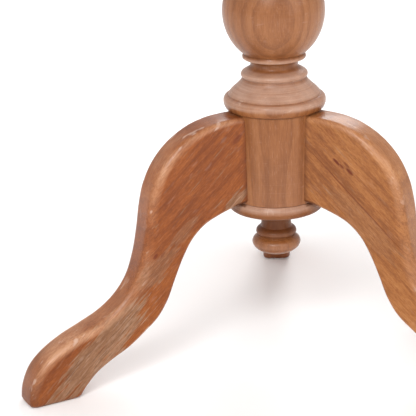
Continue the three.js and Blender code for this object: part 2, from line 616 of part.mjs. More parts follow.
const blank = topBlank();
for (let index = 0; index < BOARD_COUNT; index += 1) {
  add(`top_board_${index + 1}`, makeBoard(blank, index), TOP_WOOD);
}
add("bearer_left", makeBearer(-1), TOP_WOOD);
add("bearer_right", makeBearer(1), TOP_WOOD);
for (const [label, side] of [["left", -1], ["right", 1]]) {
  SCREW_PLACES_Y.forEach((y, index) => {
    const position = [bearerX(side), y, BEARER_SCREW_HEAD];
    const geometry = screw(BEARER_SCREW_LENGTH - SCREW_END_GAP);
    add(`bearer_screw_${label}_${index + 1}`, geometry, STEEL, { position });
  });
}
add("catch_case", makeCatchCase(), BRASS);
CATCH_SCREW_PLACES.forEach(([x, y], index) => {
  add(`catch_screw_${index + 1}`, smallScrew(), BRASS, { position: [x, y, CATCH_SCREW_FACE] });
});
add("catch_bolt", makeBolt(), BRASS);
add("catch_knob", makeKnob(), BRASS);

export default table;
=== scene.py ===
import math
import random

import bmesh
import bpy
import numpy as np
from mathutils import Matrix, Vector


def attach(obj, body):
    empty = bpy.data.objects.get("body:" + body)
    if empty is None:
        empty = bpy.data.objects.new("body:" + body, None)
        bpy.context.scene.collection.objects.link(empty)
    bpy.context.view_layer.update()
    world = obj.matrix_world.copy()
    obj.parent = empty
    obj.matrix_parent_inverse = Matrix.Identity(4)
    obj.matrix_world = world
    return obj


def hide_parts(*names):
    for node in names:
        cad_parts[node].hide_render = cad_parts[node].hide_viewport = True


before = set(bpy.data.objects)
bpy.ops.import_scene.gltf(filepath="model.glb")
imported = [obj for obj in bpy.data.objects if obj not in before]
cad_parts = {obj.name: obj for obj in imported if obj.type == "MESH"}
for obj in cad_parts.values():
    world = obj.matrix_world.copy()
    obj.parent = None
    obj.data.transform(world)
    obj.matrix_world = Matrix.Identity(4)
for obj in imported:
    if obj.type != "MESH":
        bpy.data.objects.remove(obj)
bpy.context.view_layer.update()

RNG = random.Random(7)
MM = 0.001  # the tables below are in millimetres, the meshes in metres

# --- Sizes, in millimetres, as the CAD has them ---------------------------------------------------
HUB_BOTTOM, HUB_TOP = 172.4, 268.6
DISC_BOTTOM = 158.4
SHOULDER = 677.4
TOP_Z, TOP_UNDER = 730.0, 708.0
TOP_RADIUS = 400.0
BLOCK_HALF, BLOCK_LOW, BLOCK_HIGH = 85.0, 677.7, 707.7
PIVOT_Y, PIVOT_Z = -70.0, 692.7
PIN_RADIUS = 9.0
TENON_RADIUS = 17.0
KERF_DEPTH, WEDGE_LOW, WEDGE_HALF = 24.0, 684.2, 15.0  # the tenon's saw cut and the wedge in it
BEARER_X, BEARER_WIDTH, BEARER_HEIGHT = 85.5, 22.0, 35.0
BEARER_HALF, BEARER_END, BEARER_TAPER = 310.0, 14.0, 90.0
BEARER_SCREWS_Y = (-268, -160, 0, 160, 268)
SCREW_HEAD_Z = 691.0
DISC_SCREW_RADIUS = 29.0
LEG_AZIMUTH = {"leg_front_left": 210, "leg_front_right": 330, "leg_back": 90}
LEG_HALF = 17.5
GRAIN_SLOPE = math.radians(-41)  # how the grain of a leg's plank falls towards the foot
CATCH_Y, CATCH_LENGTH = 88.8, 46.0
CATCH_HIGH, CATCH_LOW = 707.7, 692.7
BOLT_Z = 698.0
KNOB_Y = CATCH_Y + 31
STRIKE_BACK, STRIKE_Y, STRIKE_LOW, STRIKE_HIGH = 85.3, 86.9, 682.7, 706.7
STRIKE_SCREWS_X, STRIKE_SCREW_Z = (-14, 14), 695.0
BLOCK_NOSE = 15.0  # radius of the block's edge round the pins


# --- Curves ---------------------------------------------------------------------------------------
def spline(points, step):
    """A Catmull-Rom curve through the points, sampled about every step."""
    pts = np.array(points, float)
    out = []
    for i in range(len(pts) - 1):
        a, b = pts[max(i - 1, 0)], pts[i]
        c, d = pts[i + 1], pts[min(i + 2, len(pts) - 1)]
        count = max(2, math.ceil(np.linalg.norm(c - b) / step))
        for t in np.arange(count) / count:
            u, v = (c - a) / 2, (d - b) / 2
            out.append((2 * b - 2 * c + u + v) * t**3 + (3 * c - 3 * b - 2 * u - v) * t**2 + u * t + b)
    out.append(pts[-1])
    return np.array(out)


def outline(runs, step=1.2, soft=0.7):
    """Joins runs of points end to end. A run of two points is straight, and each corner is softened."""
    pts, corners = [np.array(runs[0][0], float)], []
    for run in runs:
        if len(run) == 2:
            a, b = np.array(run[0], float), np.array(run[1], float)
            length = np.linalg.norm(b - a)
            under_leg_shadow = min(2.0, length / 3)
            part = [a + (b - a) * s / length for s in (under_leg_shadow, length - under_leg_shadow, length)]
        else:
            part = list(spline(run, step)[1:])
        corners.append(len(pts) - 1)
        pts += part
    out = []
    for i, p in enumerate(pts):
        if i not in corners or i == 0:
            out.append(p)
            continue
        before, after = pts[i - 1] - p, pts[i + 1] - p
        a = p + before * min(soft / np.linalg.norm(before), 0.45)
        b = p + after * min(soft / np.linalg.norm(after), 0.45)
        out += [a * (1 - t) ** 2 + p * 2 * t * (1 - t) + b * t**2 for t in (0, 0.33, 0.67, 1)]
    return np.array(out)


def chain(start, *runs):
    """Runs for outline(): each begins where the one before it ended."""
    joined = []
    for run in runs:
        joined.append([start, *run])
        start = run[-1]
    return joined


def blur(values, at, width):
    """Gaussian average of values along the positions at."""
    weight = np.exp(-0.5 * ((at[:, None] - at[None]) / width) ** 2)
    gap = np.gradient(at)
    return (weight * gap) @ values / (weight @ gap)[:, None]


# --- Mesh helpers ---------------------------------------------------------------------------------
def new_object(name, verts, faces):
    """A mesh object in the scene, from points in metres."""
    mesh = bpy.data.meshes.new(name)
    mesh.from_pydata([tuple(v) for v in np.asarray(verts, float)], [], faces)
    mesh.validate()
    obj = bpy.data.objects.new(name, mesh)
    bpy.context.scene.collection.objects.link(obj)
    return obj


def points_of(obj):
    """The mesh's points in metres, one row each."""
    co = np.zeros(len(obj.data.vertices) * 3, np.float32)
    obj.data.vertices.foreach_get("co", co)
    return co.reshape(-1, 3).astype(float)


def set_value(obj, name, values):
    """A number on each vertex, for the materials."""
    attribute = obj.data.attributes.get(name) or obj.data.attributes.new(name, "FLOAT", "POINT")
    attribute.data.foreach_set("value", np.asarray(values, np.float32))


def outward(obj):
    """Turns every face outwards."""
    bm = bmesh.new()
    bm.from_mesh(obj.data)
    bmesh.ops.recalc_face_normals(bm, faces=bm.faces)
    bm.to_mesh(obj.data)
    bm.free()


def smooth(obj, angle=40):
    """Smooth shading that breaks at edges sharper than the angle."""
    bm = bmesh.new()
    bm.from_mesh(obj.data)
    for face in bm.faces:
        face.smooth = True
    for edge in bm.edges:
        edge.smooth = len(edge.link_faces) == 2 and edge.calc_face_angle(0) < math.radians(angle)
    bm.to_mesh(obj.data)
    bm.free()


def apply_modifiers(obj):
    """Makes what the modifiers give the object's own mesh."""
    graph = bpy.context.evaluated_depsgraph_get()
    mesh = bpy.data.meshes.new_from_object(obj.evaluated_get(graph))
    obj.modifiers.clear()
    old, obj.data = obj.data, mesh
    bpy.data.meshes.remove(old)


def cut(obj, cutters):
    """Takes the cutters out of the object."""
    for cutter in cutters:
        modifier = obj.modifiers.new("cut", "BOOLEAN")
        modifier.operation = "DIFFERENCE"
        modifier.solver = "EXACT"
        modifier.object = cutter
    apply_modifiers(obj)
    for cutter in cutters:
        bpy.data.objects.remove(cutter)


def bevel(obj, width):
    """Rounds the edges that turn by more than 30 degrees, by a width in mm."""
    modifier = obj.modifiers.new("bevel", "BEVEL")
    modifier.width = width * MM
    modifier.segments = 2
    modifier.limit_method = "ANGLE"
    modifier.angle_limit = math.radians(30)
    modifier.use_clamp_overlap = True
    apply_modifiers(obj)
    smooth(obj)


def lathe(name, profile, sides):
    """Turns a profile of (radius, height) about Z, with wear on its ridges and grime in its grooves."""
    verts, rows = [], []
    for radius, height in profile:
        if radius < 1e-6:
            rows.append([len(verts)])
            verts.append((0, 0, height * MM))
            continue
        rows.append(list(range(len(verts), len(verts) + sides)))
        for k in range(sides):
            turn = 2 * math.pi * k / sides
            verts.append((radius * MM * math.cos(turn), radius * MM * math.sin(turn), height * MM))
    faces = []
    for low, high in zip(rows, rows[1:]):
        for k in range(sides):
            n = (k + 1) % sides
            if len(low) == 1:
                faces.append((low[0], high[n], high[k]))
            elif len(high) == 1:
                faces.append((low[k], low[n], high[0]))
            else:
                faces.append((low[k], low[n], high[n], high[k]))
    obj = new_object(name, verts, faces)
    smooth(obj, 60)
    at = np.concatenate([[0], np.cumsum(np.linalg.norm(np.diff(profile, axis=0), axis=1))])
    slope = np.gradient(profile, axis=0)
    normal = np.stack([slope[:, 1], -slope[:, 0]], -1)
    normal /= np.linalg.norm(normal, axis=1, keepdims=True) + 1e-9
    # how far a smoothed profile lies outside this one: more than 0 in a groove, less on a ridge
    narrow = ((blur(profile, at, 2.5) - profile) * normal).sum(1)
    wide = ((blur(profile, at, 7) - profile) * normal).sum(1)
    per_row = {"dirt_and_shade": np.clip(narrow / 1.1, 0, 1), "wear_and_highlight": np.clip(-wide / 7.0, 0, 1)}
    for key, row_values in per_row.items():
        set_value(obj, key, np.concatenate([[v] * len(row) for v, row in zip(row_values, rows)]))
    return obj


def rod(radius, low, high, sides):
    """A plain round cutter along Z."""
    return lathe("cutter", np.array([(0, low), (radius, low), (radius, high), (0, high)], float), sides)


def box(low, high):
    """A plain box between two corners, for cutting or bevelling."""
    x, y, z = zip(np.array(low) * MM, np.array(high) * MM)
    verts = [(x[i], y[j], z[k]) for i in (0, 1) for j in (0, 1) for k in (0, 1)]
    faces = [(0, 1, 3, 2), (4, 6, 7, 5), (0, 4, 5, 1), (2, 3, 7, 6), (0, 2, 6, 4), (1, 5, 7, 3)]
    return new_object("cutter", verts, faces)


def prism(name, section, low, high, axis):
    """A section extruded between two places along X, Y or Z. It is given in the other two, in order."""
    other = [k for k in range(3) if k != axis]
    verts = []
    for place in (low, high):
        for point in section:
            v = [0, 0, 0]
            v[axis] = place * MM
            v[other[0]], v[other[1]] = point[0] * MM, point[1] * MM
            verts.append(v)
    n = len(section)
    faces = [tuple(range(n)), tuple(range(n, 2 * n))]
    faces += [(k, (k + 1) % n, n + (k + 1) % n, n + k) for k in range(n)]
    obj = new_object(name, verts, faces)
    outward(obj)
    return obj


def moved(obj, matrix):
    """Moves the mesh, so that the object itself stays at the origin."""
    obj.data.transform(matrix)
    return obj


def along_x(obj, side, y, z):
    """Lays a piece made along Z along X, towards one side, through the point y, z."""
    turn = Matrix.Rotation(side * math.pi / 2, 4, "Y")
    return moved(obj, Matrix.Translation((0, y * MM, z * MM)) @ turn)


def grain(obj, along, side, pith, shift):
    """Wood space for the material: two places across the grain, measured from the pith, one along it."""
    along, side = Vector(along).normalized(), Vector(side).normalized()
    third = along.cross(side)
    co = points_of(obj)
    axes = np.array([side, third, along])
    space = co @ axes.T + np.array([pith[0], pith[1], 0]) * MM
    space[:, 2] += shift
    attribute = obj.data.attributes.new("wood", "FLOAT_VECTOR", "POINT")
    attribute.data.foreach_set("vector", space.astype(np.float32).ravel())
    set_value(obj, "tree", np.full(len(co), RNG.random() * 40))
    for key in ("wear_and_highlight", "dirt_and_shade"):
        if key not in obj.data.attributes:
            set_value(obj, key, np.zeros(len(co)))
    return obj


def finish(obj, body, nodes, material):
    """Gives a piece its material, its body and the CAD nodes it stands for."""
    obj.data.materials.clear()
    obj.data.materials.append(material)
    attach(obj, body)
    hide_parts(*nodes)


# --- Materials ------------------------------------------------------------------------------------
class Nodes:
    """Builds a material's nodes. An input given as a socket is linked, and any other value is set."""

    def __init__(self, name):
        self.material = bpy.data.materials.new(name)
        self.material.use_nodes = True
        self.tree = self.material.node_tree
        self.tree.nodes.clear()

    def add(self, kind, inputs=None, **settings):
        node = self.tree.nodes.new(kind)
        for key, value in settings.items():
            setattr(node, key, value)
        for key, value in (inputs or {}).items():
            if isinstance(value, bpy.types.NodeSocket):
                self.tree.links.new(value, node.inputs[key])
            else:
                node.inputs[key].default_value = value
        return node

    def math(self, operation, a, b=0.0, c=0.0, clamp=False):
        values = {0: a, 1: b, 2: c}
        return self.add("ShaderNodeMath", values, operation=operation, use_clamp=clamp).outputs[0]

    def value(self, name):
        """A number that the mesh carries on its vertices."""
        return self.add("ShaderNodeAttribute", attribute_name=name).outputs["Fac"]

    def scaled(self, vector, scale):
        node = self.add("ShaderNodeVectorMath", {0: vector, 1: scale}, operation="MULTIPLY")
        return node.outputs[0]

    def noise(self, vector, scale, detail=2.0, rough=0.5, tree=0.0):
        """Noise with its own scale along each axis. tree tells one piece of wood from another."""
        inputs = {"Vector": self.scaled(vector, scale), "Scale": 1.0, "Detail": detail, "Roughness": rough,
                  "W": tree}
        return self.add("ShaderNodeTexNoise", inputs, noise_dimensions="4D").outputs["Fac"]

    def ease(self, value, low, high, to_low=0.0, to_high=1.0):
        """Takes low..high smoothly to to_low..to_high, and holds it outside."""
        inputs = {"Value": value, "From Min": low, "From Max": high, "To Min": to_low, "To Max": to_high}
        return self.add("ShaderNodeMapRange", inputs, interpolation_type="SMOOTHSTEP").outputs[0]

    def ramp(self, value, stops):
        node = self.add("ShaderNodeValToRGB", {"Fac": value})
        ramp = node.color_ramp
        while len(ramp.elements) < len(stops):
            ramp.elements.new(0.5)
        for element, (place, colour) in zip(ramp.elements, stops):
            element.position = place
            element.color = (*colour, 1)
        return node.outputs["Color"]

    def mix(self, share, a, b):
        node = self.add("ShaderNodeMix", data_type="RGBA")
        for socket, value in zip((node.inputs[0], node.inputs[6], node.inputs[7]), (share, a, b)):
            if isinstance(value, bpy.types.NodeSocket):
                self.tree.links.new(value, socket)
            elif socket.type == "RGBA":
                socket.default_value = (*value, 1)
            else:
                socket.default_value = value
        return node.outputs[2]

    def distance(self, vector, place, size):
        """Distance from a place in mm, in units of a size in mm along each axis."""
        offset = self.add("ShaderNodeVectorMath", {0: vector, 1: [v * MM for v in place]},
                          operation="SUBTRACT")
        span = self.scaled(offset.outputs[0], [1 / (v * MM) for v in size])
        return self.add("ShaderNodeVectorMath", {0: span}, operation="LENGTH").outputs["Value"]

    def surface(self, inputs):
        shader = self.add("ShaderNodeBsdfPrincipled", inputs)
        self.add("ShaderNodeOutputMaterial", {"Surface": shader.outputs[0]})
        return self.material


SCUFFED = (0.58, 0.41, 0.32)
BURNISHED = (0.62, 0.42, 0.33)
ASHEN = (0.50, 0.36, 0.27)
CRACKED = (0.10, 0.040, 0.018)
PORE = (0.11, 0.040, 0.015)
FLECK = (0.13, 0.022, 0.003)
DIRT_AND_SHADE = (0.098, 0.024, 0.005)


def wood(name, tones, worn_and_highlight_colour=(0.53, 0.35, 0.265), rings=7.0, ring_depth=0.3, wear_and_highlight=1.0, flecks=0.5,
         marks=(), dry=(), scuffs=0.3, turned=0.0, straight=1.0, fine=0.8, gloss=0.33):
    """Varnished reddish timber. tones run from the dark to the pale parts of the grain, rings is the
    distance between growth rings in mm and ring_depth how strongly they show. The wear argument scales how
    far the ridges are rubbed and how strong the painted highlights are, to the colour given for worn and
    painted-highlight places, and scuffs how strong the pale scuffs are. flecks is the strength of the
    scattered dark flecks. marks are more of them, and dry are places where the finish is gone, each a place,
    a size and a strength in the wood's own space. turned is the depth of the marks left by a lathe, straight
    is how far the fibres are drawn out, and fine how strongly they show. gloss is the roughness of the
    varnish where it is whole."""
    n = Nodes(name)
    at = n.add("ShaderNodeAttribute", attribute_name="wood").outputs["Vector"]
    tree = n.value("tree")
    # growth rings round the pith, drawn out along the grain
    bend = n.noise(at, (9, 9, 2.2), 3, 0.55, tree)
    across = n.add("ShaderNodeSeparateXYZ", {0: at})
    radius = n.math("SQRT", n.math("ADD", n.math("MULTIPLY", across.outputs[0], across.outputs[0]),
                                   n.math("MULTIPLY", across.outputs[1], across.outputs[1])))
    ring_at = n.math("ADD", n.math("DIVIDE", radius, rings * MM), n.math("MULTIPLY", bend, 5.0))
    ring = n.math("FRACT", ring_at)
    late = n.math("MULTIPLY", n.ease(ring, 0.35, 0.93), n.ease(ring, 1.0, 0.95))
    # tone, from broad bands down to single fibres, with a ribbon figure across them
    broad = n.noise(at, (16, 16, 3.0), 2, 0.5, tree)
    band = n.noise(at, (62, 62, 5.5), 3, 0.55, tree)
    ribbon = n.noise(at, (55, 55, 30), 3, 0.6, tree)
    streak = n.noise(at, (240, 240, 17 / straight), 3, 0.62, tree)
    fibre = n.noise(at, (760, 760, 80 / straight), 3, 0.7, tree)
    speck = n.noise(at, (720, 720, 260 / straight), 2, 0.6, tree)
    tone = n.math("MULTIPLY", broad, 0.34)
    tone = n.math("MULTIPLY_ADD", band, 0.30, tone)
    tone = n.math("MULTIPLY_ADD", ribbon, 0.26, tone)
    tone = n.math("MULTIPLY_ADD", streak, 0.20, tone)
    tone = n.math("MULTIPLY_ADD", n.ease(fibre, 0.36, 0.64, -0.06, 0.06), fine, tone)
    tone = n.math("MULTIPLY_ADD", n.ease(speck, 0.36, 0.64, -0.045, 0.045), fine, tone)
    tone = n.math("MULTIPLY_ADD", late, -0.20 * ring_depth, tone)
    tone = n.ease(tone, 0.32, 0.80)
    steps = (0.0, 0.36, 0.66, 1.0)
    colour = n.ramp(tone, list(zip(steps, tones)))
    # places where the finish is gone and the bare wood has greyed, in streaks at their edges
    bare = 0.0
    thread = n.noise(at, (330, 330, 30), 3, 0.62, tree)
    for place, size, strength in dry:
        inside = n.ease(n.distance(at, place, size), 1.15, 0.25)
        lines = n.ease(n.math("MULTIPLY_ADD", inside, 0.34, thread), 0.60, 0.72)
        bare = n.math("MAXIMUM", n.math("MULTIPLY", lines, strength), bare)
    if dry:
        colour = n.mix(bare, colour, n.ramp(tone, list(zip(steps, DRY_TONES))))
        crack = n.ease(n.noise(at, (780, 780, 42), 2, 0.6, tree), 0.57, 0.66)
        colour = n.mix(n.math("MULTIPLY", crack, n.math("MULTIPLY", bare, 0.75)), colour, CRACKED)
        ash = n.ease(n.noise(at, (520, 520, 55), 2, 0.6, tree), 0.53, 0.64)
        colour = n.mix(n.math("MULTIPLY", ash, n.math("MULTIPLY", bare, 0.3)), colour, ASHEN)
    # open pores: short dark dashes, and pale ones where polish has dried in them
    pore = n.noise(at, (1350, 1350, 120), 2, 0.6, tree)
    dark_pore = n.math("MULTIPLY", n.ease(pore, 0.56, 0.68), n.ease(ribbon, 0.30, 0.65, 0.35, 1.0))
    colour = n.mix(n.math("MULTIPLY", dark_pore, n.math("MULTIPLY_ADD", bare, 0.2, 0.5 * fine)),
                   colour, PORE)
    colour = n.mix(n.math("MULTIPLY", n.ease(pore, 0.42, 0.30), 0.16), colour, worn_and_highlight_colour)
    # dark flecks, a few to each piece
    cells = n.add("ShaderNodeTexVoronoi", {"Vector": n.scaled(at, (70, 70, 17)), "Scale": 1.0,
                                           "Randomness": 1.0}, feature="F1")
    chosen = n.add("ShaderNodeSeparateXYZ", {0: cells.outputs["Color"]}).outputs[0]
    fleck = n.math("MULTIPLY", n.ease(cells.outputs["Distance"], 0.17, 0.05), n.ease(chosen, 0.90, 0.93))
    fleck = n.math("MULTIPLY", fleck, flecks)
    for place, size, strength in marks:
        mark = n.math("MULTIPLY", n.ease(n.distance(at, place, size), 1.0, 0.5), strength)
        fleck = n.math("MAXIMUM", fleck, mark)
    colour = n.mix(fleck, colour, FLECK)
    # rubbed ridges and rounded edges, and painted highlights where the mesh asks for them, broken up by the
    # grain, less so on a turning
    least_patch, least_fibre = (0.6, 0.92) if turned else (0.25, 0.6)
    patch = n.noise(at, (30, 30, 18), 3, 0.6, tree)
    rub_and_highlight = n.math("MULTIPLY", n.value("wear_and_highlight"), n.ease(patch, 0.3, 0.7, least_patch, 1.0))
    rub_and_highlight = n.math("MULTIPLY", rub_and_highlight, n.ease(fibre, 0.36, 0.62, least_fibre, 1.05))
    rub_and_highlight = n.math("MINIMUM", n.math("MULTIPLY", rub_and_highlight, wear_and_highlight), 0.92)
    colour = n.mix(rub_and_highlight, colour, worn_and_highlight_colour)
    # pale scuffs, mostly where it is rubbed: round a turning, and along the grain elsewhere
    scuff_scale, least_scuff = ((60, 60, 210), 0.64) if turned else ((120, 120, 40), 0.61)
    scuff = n.ease(n.noise(at, scuff_scale, 2, 0.6, tree), least_scuff, least_scuff + 0.08)
    scuff = n.math("MULTIPLY", scuff, n.ease(n.value("wear_and_highlight"), 0.15, 0.5, 0.15, 1.0))
    colour = n.mix(n.math("MULTIPLY", scuff, scuffs), colour, SCUFFED)
    # dirt in the grooves, and painted shade where the mesh asks for it
    dirt_and_shade_share = n.math("MULTIPLY", n.value("dirt_and_shade"), n.ease(patch, 0.2, 0.7, 0.6, 1.0))
    colour = n.mix(n.math("MULTIPLY", dirt_and_shade_share, 0.62, clamp=True), colour, DIRT_AND_SHADE)
    # the varnish is duller where it is rubbed, dirty or gone
    dull = n.math("ADD", n.math("MULTIPLY", rub_and_highlight, 0.3), n.math("ADD", dirt_and_shade_share, bare))
    roughness = n.math("ADD", n.ease(fibre, 0.3, 0.7, gloss - 0.04, gloss + 0.06),
                       n.math("MULTIPLY", dull, 0.16))
    # relief: pores, fibres and rings, and a slow unevenness from hand work
    height = n.math("MULTIPLY_ADD", dark_pore, -0.9, n.math("MULTIPLY", fibre, 0.55))
    height = n.math("MULTIPLY_ADD", late, -0.25, height)
    height = n.math("MULTIPLY_ADD", fleck, -0.6, height)
    if turned:
        lathe_marks = n.noise(at, (10, 10, 700), 3, 0.7)
        height = n.math("MULTIPLY_ADD", lathe_marks, 0.8 * turned, height)
        shown = n.math("MULTIPLY", n.value("wear_and_highlight"), turned)
        colour = n.mix(n.math("MULTIPLY", n.ease(lathe_marks, 0.50, 0.66), shown), colour, tones[1])
        colour = n.mix(n.math("MULTIPLY", n.ease(lathe_marks, 0.46, 0.32), shown), colour, BURNISHED)
    grain_bump = n.add("ShaderNodeBump", {"Strength": 0.35, "Distance": 0.00035, "Height": height})
    slow = n.noise(at, (45, 45, 22), 1, 0.4, tree)
    relief = n.add("ShaderNodeBump", {"Strength": 0.25, "Distance": 0.0012, "Height": slow,
                                      "Normal": grain_bump.outputs[0]})
    return n.surface({"Base Color": colour, "Roughness": roughness, "Normal": relief.outputs[0],
                      "Coat Weight": 0.14, "Coat Roughness": 0.17, "Specular IOR Level": 0.22})


def metal(name, base, dark, rough):
    """Old metal: brushed, dulled unevenly, with dark spots. rough is its mean roughness."""
    n = Nodes(name)
    at = n.add("ShaderNodeTexCoord").outputs["Object"]
    dull = n.noise(at, (140, 140, 140), 4, 0.6)
    brush = n.noise(at, (3500, 240, 900), 2, 0.6)
    spots = n.noise(at, (600, 600, 600), 3, 0.7)
    colour = n.mix(n.ease(dull, 0.35, 0.72), base, dark)
    colour = n.mix(n.math("MULTIPLY", n.ease(spots, 0.62, 0.72), 0.6), colour, [c * 0.45 for c in dark])
    roughness = n.math("ADD", n.ease(dull, 0.3, 0.7, rough - 0.08, rough + 0.12),
                       n.math("MULTIPLY", brush, 0.12))
    bump = n.add("ShaderNodeBump", {"Strength": 0.15, "Distance": 0.0002, "Height": brush})
    return n.surface({"Base Color": colour, "Roughness": roughness, "Normal": bump.outputs[0],
                      "Metallic": 1.0})


def shades(red, green, blue, spread=1.0):
    """Tones for wood(), from a mean colour: the dark ones are redder and the pale ones yellower."""
    steps = ((0.66, 0.58, 0.50), (0.90, 0.86, 0.80), (1.08, 1.12, 1.15), (1.28, 1.50, 1.75))
    return [(red * r ** spread, green * g ** spread, blue * b ** spread) for r, g, b in steps]


HUB_TONES = shades(0.285, 0.106, 0.035)
RED_TONES = shades(0.252, 0.065, 0.010, 1.2)
TAN_TONES = shades(0.325, 0.118, 0.032, 1.35)
FINIAL_TONES = shades(0.25, 0.086, 0.024)
DARK_TONES = shades(0.16, 0.048, 0.018)
DRY_TONES = shades(0.27, 0.140, 0.075)
LEG_WORN_AND_HIGHLIGHT = (0.50, 0.262, 0.145)

# a leg's marks, from the foot of the hub: through its thickness, across the plank, along the grain
LEFT_DRY = (((17, 16, 215), (16, 26, 95), 0.85), ((17, 10, 2), (14, 10, 24), 0.8),
            ((17, 30, 112), (14, 14, 40), 0.45), ((17, 34, 66), (14, 9, 24), 0.35),
            ((-12, 20, 240), (16, 24, 60), 0.5))
LEFT_MARKS = (((17, 59, -43), (9, 4, 9), 0.6), ((17, 41, 103), (8, 2.6, 4.5), 0.8),
              ((17, 36, 96), (8, 1.6, 5), 0.5), ((17, 62, -14), (9, 5, 22), 0.25))
RIGHT_MARKS = (((-17, 60.5, -8), (8, 2.0, 6.5), 1.0), ((-17, 61.5, -1), (8, 1.5, 4.5), 0.8),
               ((-17, 64, 9), (8, 2.1, 6.5), 0.95), ((-17, 67, 2), (8, 1.6, 5.5), 0.6),
               ((-17, 78, -34), (9, 4, 7), 0.25), ((-17, 46.5, 35), (10, 1.0, 100), 0.65),
               ((-17, 70, 60), (9, 3, 28), 0.25), ((-17, 52, -20), (9, 5, 24), 0.2))
RIGHT_DRY = (((-17, 34, 60), (12, 18, 70), 0.22), ((17, 20, 230), (14, 18, 60), 0.5))
BACK_DRY = (((17, 18, 220), (14, 18, 60), 0.5), ((-17, 30, 90), (14, 12, 40), 0.4))

WOODS = {
    "column": wood("column_wood", HUB_TONES, rings=9, ring_depth=0.5, turned=0.6, scuffs=0.6, straight=2.5,
                   fine=0.45),
    "leg_front_left": wood("left_leg_wood", RED_TONES, worn_and_highlight_colour=LEG_WORN_AND_HIGHLIGHT, rings=10, dry=LEFT_DRY,
                           marks=LEFT_MARKS, scuffs=0.6),
    "leg_front_right": wood("right_leg_wood", TAN_TONES, worn_and_highlight_colour=LEG_WORN_AND_HIGHLIGHT, rings=12, dry=RIGHT_DRY,
                            marks=RIGHT_MARKS),
    "leg_back": wood("back_leg_wood", RED_TONES, worn_and_highlight_colour=LEG_WORN_AND_HIGHLIGHT, rings=9, dry=BACK_DRY),
    "disc": wood("disc_wood", HUB_TONES, rings=11, turned=0.2, fine=0.5),
    "finial": wood("finial_wood", FINIAL_TONES, rings=9, wear_and_highlight=0.5, turned=0.4, straight=2.0, fine=0.5),
    "block": wood("block_wood", DARK_TONES, rings=6, wear_and_highlight=0.5, gloss=0.46),
    "bearer": wood("bearer_wood", RED_TONES, rings=8, wear_and_highlight=0.5, gloss=0.44),
    "pin": wood("pin_wood", DARK_TONES, rings=5, wear_and_highlight=0.9, gloss=0.40),
    "top": wood("top_wood", HUB_TONES, rings=11, ring_depth=0.8, wear_and_highlight=0.8, flecks=0.35, gloss=0.42),
    "top_red": wood("top_wood_red", RED_TONES, rings=9, ring_depth=0.8, wear_and_highlight=0.8, flecks=0.35, gloss=0.42),
}
BRASS = metal("old_brass", (0.62, 0.41, 0.16), (0.33, 0.20, 0.08), 0.34)
STEEL = metal("screw_steel", (0.46, 0.45, 0.44), (0.20, 0.18, 0.17), 0.38)


# --- Column ---------------------------------------------------------------------------------------
def ball_points():
    turns = np.linspace(-0.925, 0.6, 11)
    return [(52.8 * math.cos(t), 371 + 55.5 * math.sin(t)) for t in turns]


def column_runs():
    ball = ball_points()
    return chain(
        (0, HUB_BOTTOM),
        [(47.3, HUB_BOTTOM)],
        [(48.7, HUB_TOP)],
        [(51.8, 270.6), (53.5, 276), (52.6, 280.4), (49.4, 282.9)],
        [(48.3, 283.4)],
        [(47.9, 284.8)],
        [(44.2, 288.8), (39.6, 293), (35.4, 297.4), (33.8, 300.6)],
        [(33.3, 301.4)],
        [(34.9, 304.2), (33.6, 307.2), (28.6, 310.2)],
        [(25.2, 313), (24.8, 317), (26.4, 320.6)],
        [(32, 321.4), (33.1, 323.8), (31.6, 326.8)],
        [ball[0]],
        [*ball[1:], (37.4, 423), (31.4, 446), (26.2, 480), (23, 518), (22, 553)],
        [(29, 555.4), (30.6, 560), (29, 564.6), (23, 567)],
        [(20.6, 576), (22.4, 592), (27, 610), (30.8, 630), (31, 646)],
        [(35, 648)],
        [(37.4, 653), (36.4, 658.4), (33.4, 661)],
        [(33.4, 663)],
        [(36, 668), (42, SHOULDER)],
        [(0, SHOULDER)],
    )


def painted_light_band(obj, low, high, amount, edge=3.0):
    """Paints a highlight on the vertices of a turning between two heights by adding to their wear, or
    painted shade by taking it off. edge is how far it takes to come in, in mm."""
    height = points_of(obj)[:, 2] / MM
    inside = np.clip((height - low) / edge, 0, 1) * np.clip((high - height) / edge, 0, 1)
    wear_and_highlight = np.zeros(len(height), np.float32)
    obj.data.attributes["wear_and_highlight"].data.foreach_get("value", wear_and_highlight)
    set_value(obj, "wear_and_highlight", np.clip(wear_and_highlight + amount * inside, 0, 1))


